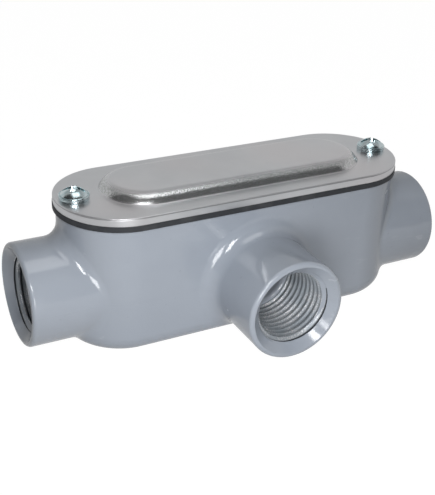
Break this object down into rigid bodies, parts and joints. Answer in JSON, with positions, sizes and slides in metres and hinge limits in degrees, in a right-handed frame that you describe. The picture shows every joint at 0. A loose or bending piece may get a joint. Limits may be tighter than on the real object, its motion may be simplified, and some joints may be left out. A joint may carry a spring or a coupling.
{
  "type": "threaded conduit body, type T, with cover",
  "caption": "Cast oval conduit body with threaded hubs in line and one out of its side, closed by a gasket and a screwed cover.",
  "frame": {"origin": "middle of the flat back face, which is the face opposite the cover", "axes": "+X along the two run hubs, -Y out of the branch hub, +Z from the back face out through the cover"},
  "size_m": [0.1262, 0.0549, 0.0438],
  "materials": {
    "paint": "light blue-grey baked enamel, half gloss, over die-cast aluminium",
    "gasket_rubber": "matt black sheet rubber with a cut edge",
    "plated_sheet": "satin grey plated steel sheet, drawn and spangled on the panel's slopes",
    "zinc_plate": "bright blue-white zinc plate"
  },
  "bodies": {
    "root": {"body_casting": "paint", "gasket": "gasket_rubber", "cover": "plated_sheet", "left_cover_screw": "zinc_plate", "right_cover_screw": "zinc_plate"}
  },
  "joints": []
}
